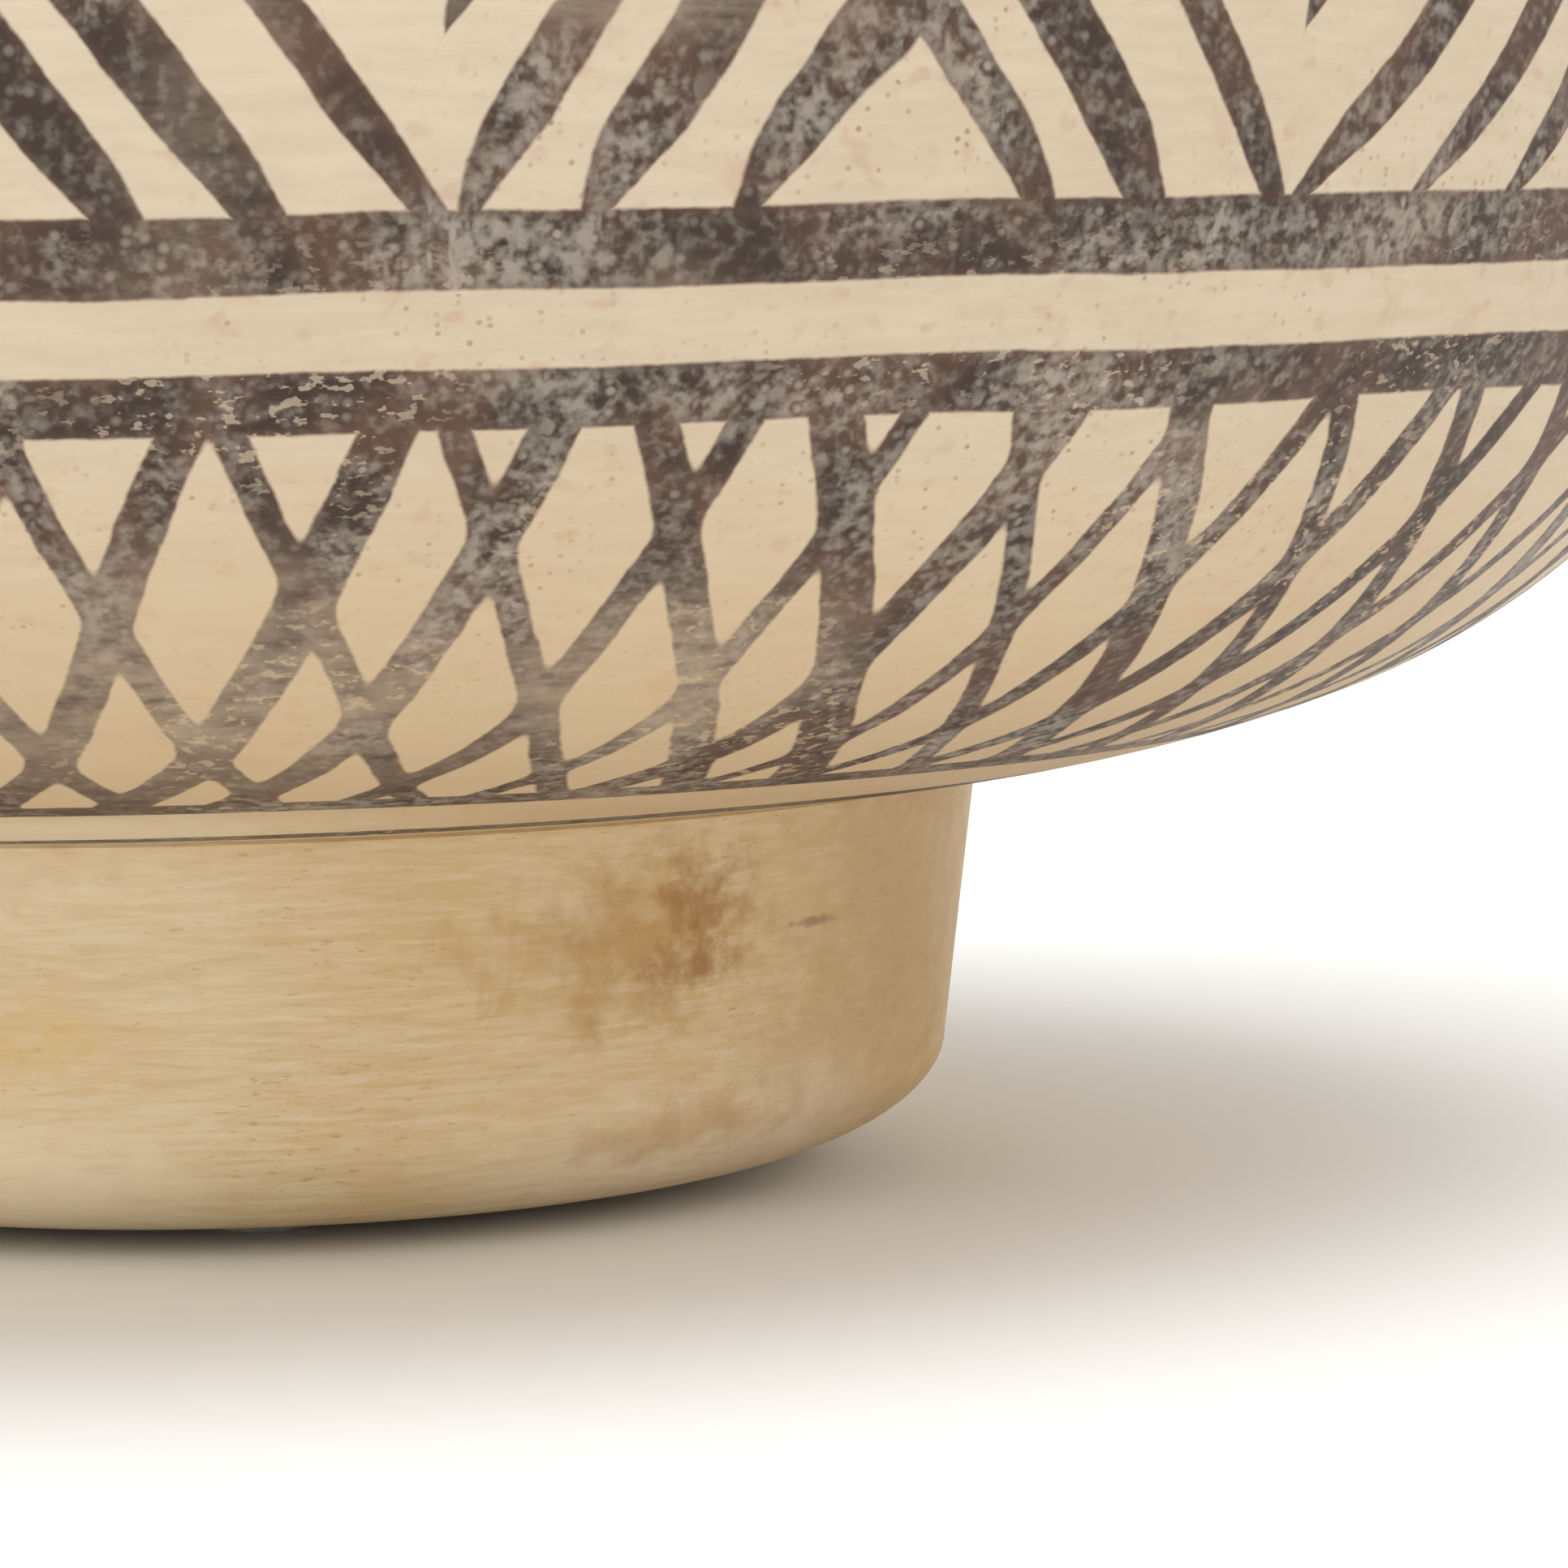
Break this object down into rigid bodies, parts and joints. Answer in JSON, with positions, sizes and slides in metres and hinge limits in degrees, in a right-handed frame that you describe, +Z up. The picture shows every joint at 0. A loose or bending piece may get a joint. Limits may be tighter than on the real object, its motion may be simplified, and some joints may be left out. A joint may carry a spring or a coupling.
{
  "type": "footed wooden bowl",
  "caption": "Wide turned wooden bowl on a separate round foot, its outside painted with worn bands of zigzags and a diamond net.",
  "frame": {"origin": "centre of the plane that the felt pads rest on, on the axis of the bowl", "axes": "+Z up along the turning axis; -Y towards the front felt pad and the viewer; +X to the viewer's right"},
  "size_m": [0.4004, 0.4002, 0.2023],
  "materials": {
    "painted_bowl_wood": "satin",
    "bare_foot_wood": "matt",
    "dowel_wood": "matt",
    "felt": "matt"
  },
  "bodies": {
    "root": {"bowl_body": "painted_bowl_wood", "foot_ring": "bare_foot_wood", "foot_dowels": "dowel_wood", "front_felt_pad": "felt", "right_felt_pad": "felt", "back_felt_pad": "felt", "left_felt_pad": "felt"}
  },
  "joints": []
}
